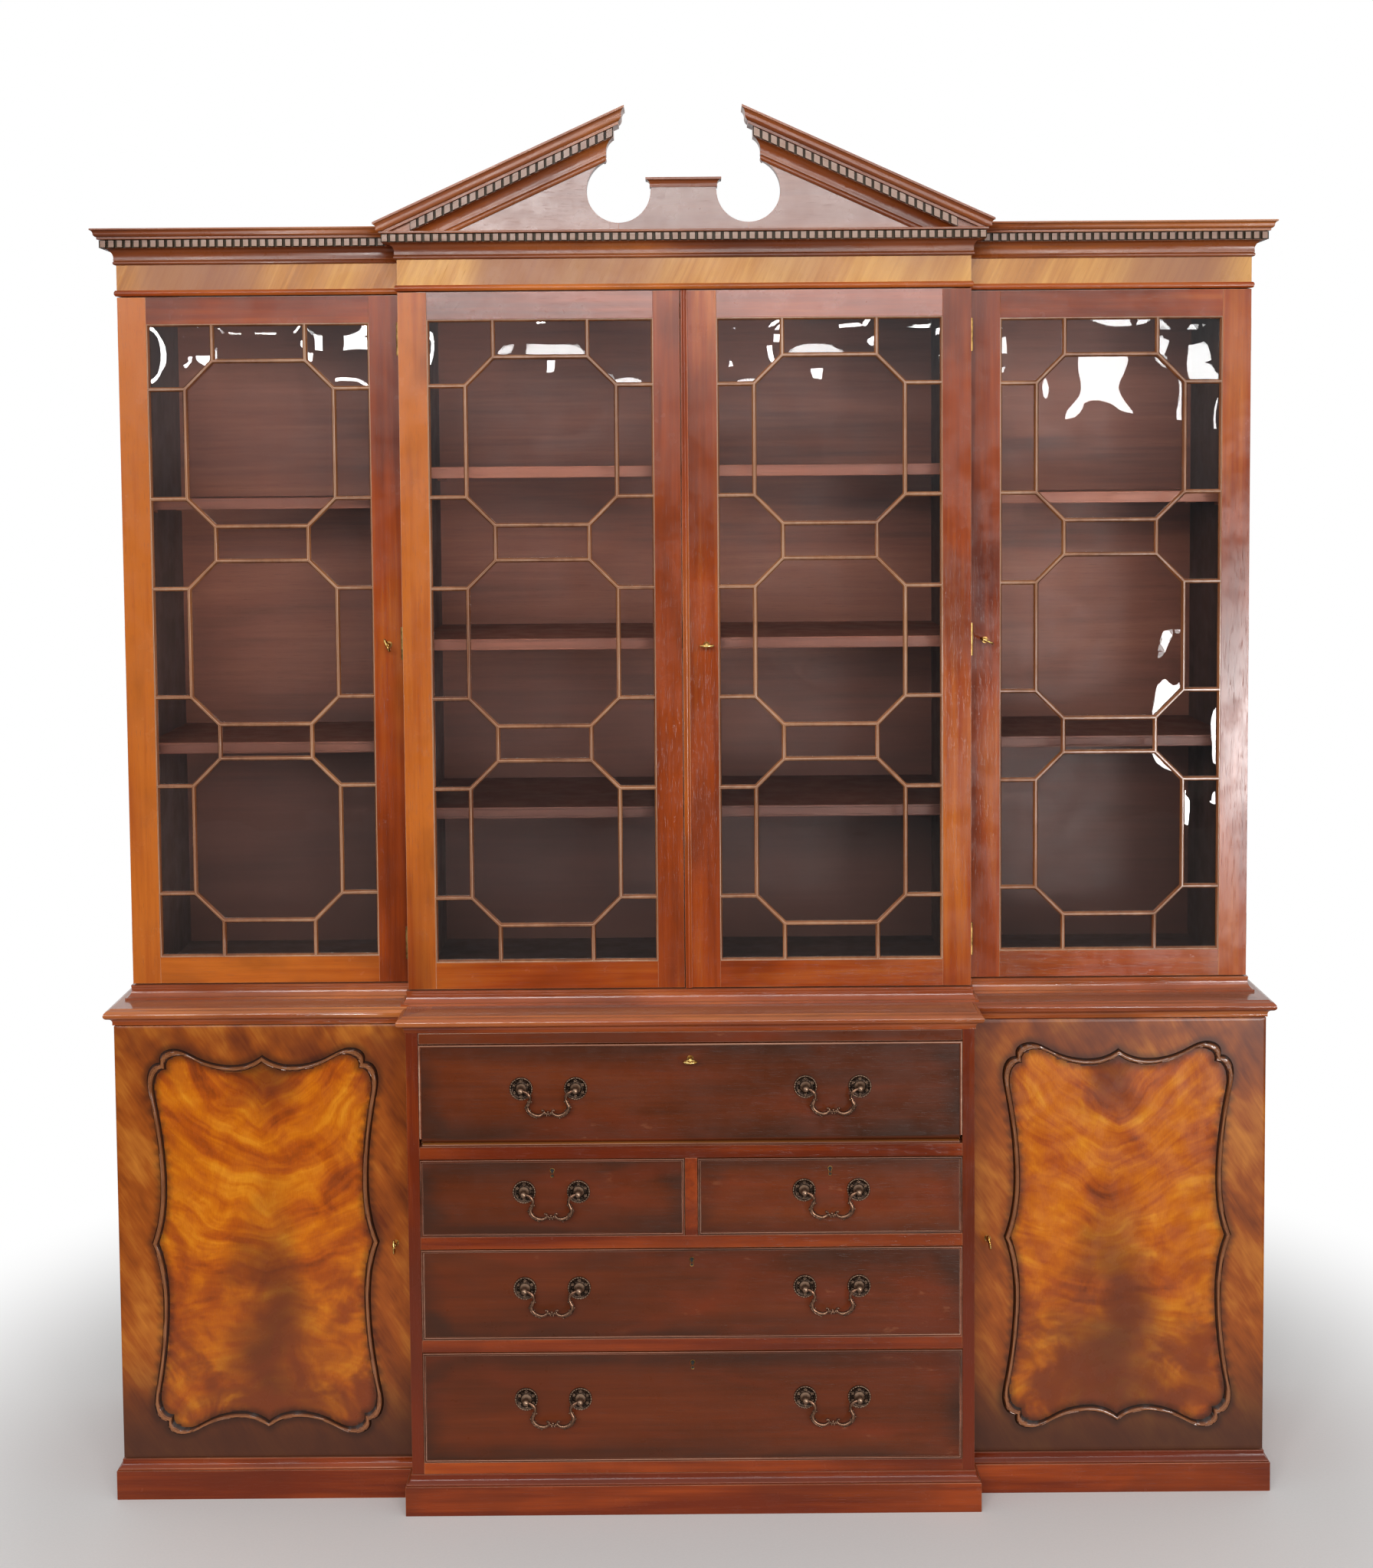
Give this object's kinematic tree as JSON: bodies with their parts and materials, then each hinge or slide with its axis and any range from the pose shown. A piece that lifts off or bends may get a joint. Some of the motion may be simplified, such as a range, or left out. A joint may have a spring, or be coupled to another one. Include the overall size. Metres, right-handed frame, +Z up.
{
  "type": "breakfront bookcase",
  "caption": "Tall breakfront bookcase with a broken pediment and lattice-glazed doors over a fall-front secretaire drawer, long drawers and panelled cupboards.",
  "frame": {"origin": "on the floor, in the middle of the width and of the whole depth", "axes": "+X to the right of someone facing it, +Y from the front to the back, +Z up"},
  "size_m": [2.056, 0.501, 2.4317],
  "materials": {
    "mahogany": "old french polish, satin",
    "crossbanded_mahogany": "crossbanded veneer, polished",
    "figured_mahogany": "figured veneer, polished",
    "flame_veneer": "flame-figured veneer, polished",
    "drawer_mahogany": "polished",
    "interior_veneer": "satin",
    "plain_boards": "plain, waxed",
    "glass": "clear, slightly wavy",
    "brass": "worn",
    "handle_bronze": "dulled and rubbed",
    "key_brass": "polished by use"
  },
  "bodies": {
    "case": {"plinth": "mahogany", "lower_carcass": "mahogany", "back_boards": "plain_boards", "drawer_rails": "mahogany", "waist": "mahogany", "upper_carcass": "mahogany", "shelves": "plain_boards", "frieze": "crossbanded_mahogany", "cornice": "mahogany", "pediment_mouldings": "mahogany", "tympanum": "figured_mahogany", "case_hinges": "brass"},
    "left_wing_door": {"left_wing_door_frame": "mahogany", "left_wing_door_glazing_bars": "mahogany", "left_wing_door_panes": "glass", "left_wing_door_brass": "brass"},
    "left_centre_door": {"left_centre_door_frame": "mahogany", "left_centre_door_glazing_bars": "mahogany", "left_centre_door_panes": "glass", "left_centre_door_brass": "brass"},
    "right_centre_door": {"right_centre_door_frame": "mahogany", "right_centre_door_glazing_bars": "mahogany", "right_centre_door_panes": "glass", "right_centre_door_brass": "brass"},
    "right_wing_door": {"right_wing_door_frame": "mahogany", "right_wing_door_glazing_bars": "mahogany", "right_wing_door_panes": "glass", "right_wing_door_brass": "brass"},
    "left_cupboard_door": {"left_cupboard_door": "flame_veneer", "left_cupboard_door_brass": "brass"},
    "right_cupboard_door": {"right_cupboard_door": "flame_veneer", "right_cupboard_door_brass": "brass"},
    "bottom_drawer": {"bottom_drawer": "drawer_mahogany", "bottom_drawer_brass": "handle_bronze"},
    "long_drawer": {"long_drawer": "drawer_mahogany", "long_drawer_brass": "handle_bronze"},
    "left_short_drawer": {"left_short_drawer": "drawer_mahogany", "left_short_drawer_brass": "handle_bronze"},
    "right_short_drawer": {"right_short_drawer": "drawer_mahogany", "right_short_drawer_brass": "handle_bronze"},
    "secretaire_drawer": {"secretaire_box": "drawer_mahogany", "secretaire_hinges": "brass", "secretaire_interior": "interior_veneer"},
    "fall": {"secretaire_fall": "drawer_mahogany", "secretaire_fall_brass": "handle_bronze"},
    "small_drawer": {"small_drawer": "interior_veneer"},
    "bottom_drawer_left_bail": {"bottom_drawer_left_bail": "handle_bronze"},
    "bottom_drawer_right_bail": {"bottom_drawer_right_bail": "handle_bronze"},
    "long_drawer_left_bail": {"long_drawer_left_bail": "handle_bronze"},
    "long_drawer_right_bail": {"long_drawer_right_bail": "handle_bronze"},
    "left_short_drawer_bail": {"left_short_drawer_bail": "handle_bronze"},
    "right_short_drawer_bail": {"right_short_drawer_bail": "handle_bronze"},
    "secretaire_left_bail": {"secretaire_left_bail": "handle_bronze"},
    "secretaire_right_bail": {"secretaire_right_bail": "handle_bronze"},
    "left_wing_key": {"left_wing_key": "key_brass"},
    "right_centre_key": {"right_centre_key": "key_brass"},
    "right_wing_key": {"right_wing_key": "key_brass"},
    "left_cupboard_key": {"left_cupboard_key": "key_brass"},
    "right_cupboard_key": {"right_cupboard_key": "key_brass"},
    "secretaire_key": {"secretaire_key": "key_brass"}
  },
  "joints": [
    {"name": "left_wing_door_hinge", "type": "hinge", "parent": "case", "child": "left_wing_door", "pos_m": [-0.9953, -0.069, 1.5145], "axis": [0, 0, -1], "range_deg": [0, 110]},
    {"name": "left_centre_door_hinge", "type": "hinge", "parent": "case", "child": "left_centre_door", "pos_m": [-0.4973, -0.125, 1.5145], "axis": [0, 0, -1], "range_deg": [0, 95]},
    {"name": "right_centre_door_hinge", "type": "hinge", "parent": "case", "child": "right_centre_door", "pos_m": [0.4973, -0.125, 1.5145], "axis": [0, 0, 1], "range_deg": [0, 95]},
    {"name": "right_wing_door_hinge", "type": "hinge", "parent": "case", "child": "right_wing_door", "pos_m": [0.9953, -0.069, 1.5145], "axis": [0, 0, 1], "range_deg": [0, 110]},
    {"name": "left_cupboard_door_hinge", "type": "hinge", "parent": "case", "child": "left_cupboard_door", "pos_m": [-1.0133, -0.133, 0.46], "axis": [0, 0, -1], "range_deg": [0, 110]},
    {"name": "right_cupboard_door_hinge", "type": "hinge", "parent": "case", "child": "right_cupboard_door", "pos_m": [1.0133, -0.133, 0.46], "axis": [0, 0, 1], "range_deg": [0, 110]},
    {"name": "bottom_drawer_slide", "type": "slide", "parent": "case", "child": "bottom_drawer", "axis": [0, -1, 0], "range_m": [0, 0.3]},
    {"name": "long_drawer_slide", "type": "slide", "parent": "case", "child": "long_drawer", "axis": [0, -1, 0], "range_m": [0, 0.3]},
    {"name": "left_short_drawer_slide", "type": "slide", "parent": "case", "child": "left_short_drawer", "axis": [0, -1, 0], "range_m": [0, 0.26]},
    {"name": "right_short_drawer_slide", "type": "slide", "parent": "case", "child": "right_short_drawer", "axis": [0, -1, 0], "range_m": [0, 0.26]},
    {"name": "secretaire_slide", "type": "slide", "parent": "case", "child": "secretaire_drawer", "axis": [0, -1, 0], "range_m": [0, 0.25]},
    {"name": "fall_hinge", "type": "hinge", "parent": "secretaire_drawer", "child": "fall", "pos_m": [0, -0.2095, 0.665], "axis": [1, 0, 0], "range_deg": [0, 90]},
    {"name": "small_drawer_slide", "type": "slide", "parent": "secretaire_drawer", "child": "small_drawer", "axis": [0, -1, 0], "range_m": [0, 0.14]},
    {"name": "bottom_drawer_left_bail_swing", "type": "hinge", "parent": "bottom_drawer", "child": "bottom_drawer_left_bail", "pos_m": [-0.2425, -0.2345, 0.20299], "axis": [-1, 0, 0], "range_deg": [0, 90]},
    {"name": "bottom_drawer_right_bail_swing", "type": "hinge", "parent": "bottom_drawer", "child": "bottom_drawer_right_bail", "pos_m": [0.2425, -0.2345, 0.20299], "axis": [-1, 0, 0], "range_deg": [0, 90]},
    {"name": "long_drawer_left_bail_swing", "type": "hinge", "parent": "long_drawer", "child": "long_drawer_left_bail", "pos_m": [-0.2425, -0.2345, 0.39998], "axis": [-1, 0, 0], "range_deg": [0, 90]},
    {"name": "long_drawer_right_bail_swing", "type": "hinge", "parent": "long_drawer", "child": "long_drawer_right_bail", "pos_m": [0.2425, -0.2345, 0.39998], "axis": [-1, 0, 0], "range_deg": [0, 90]},
    {"name": "left_short_drawer_bail_swing", "type": "hinge", "parent": "left_short_drawer", "child": "left_short_drawer_bail", "pos_m": [-0.242, -0.2345, 0.57017], "axis": [-1, 0, 0], "range_deg": [0, 90]},
    {"name": "right_short_drawer_bail_swing", "type": "hinge", "parent": "right_short_drawer", "child": "right_short_drawer_bail", "pos_m": [0.242, -0.2345, 0.57017], "axis": [-1, 0, 0], "range_deg": [0, 90]},
    {"name": "secretaire_left_bail_swing", "type": "hinge", "parent": "fall", "child": "secretaire_left_bail", "pos_m": [-0.245, -0.2345, 0.75148], "axis": [-1, 0, 0], "range_deg": [0, 90]},
    {"name": "secretaire_right_bail_swing", "type": "hinge", "parent": "fall", "child": "secretaire_right_bail", "pos_m": [0.245, -0.2345, 0.75148], "axis": [-1, 0, 0], "range_deg": [0, 90]},
    {"name": "left_wing_key_turn", "type": "hinge", "parent": "left_wing_door", "child": "left_wing_key", "pos_m": [-0.5263, -0.0915, 1.51], "axis": [0, -1, 0], "range_deg": [0, 180]},
    {"name": "right_centre_key_turn", "type": "hinge", "parent": "right_centre_door", "child": "right_centre_key", "pos_m": [0.034, -0.1475, 1.51], "axis": [0, -1, 0], "range_deg": [0, 180]},
    {"name": "right_wing_key_turn", "type": "hinge", "parent": "right_wing_door", "child": "right_wing_key", "pos_m": [0.5263, -0.0915, 1.51], "axis": [0, -1, 0], "range_deg": [0, 180]},
    {"name": "left_cupboard_key_turn", "type": "hinge", "parent": "left_cupboard_door", "child": "left_cupboard_key", "pos_m": [-0.522, -0.1555, 0.457], "axis": [0, -1, 0], "range_deg": [0, 180]},
    {"name": "right_cupboard_key_turn", "type": "hinge", "parent": "right_cupboard_door", "child": "right_cupboard_key", "pos_m": [0.522, -0.1555, 0.457], "axis": [0, -1, 0], "range_deg": [0, 180]},
    {"name": "secretaire_key_turn", "type": "hinge", "parent": "fall", "child": "secretaire_key", "pos_m": [0, -0.2195, 0.802], "axis": [0, -1, 0], "range_deg": [0, 180]}
  ]
}
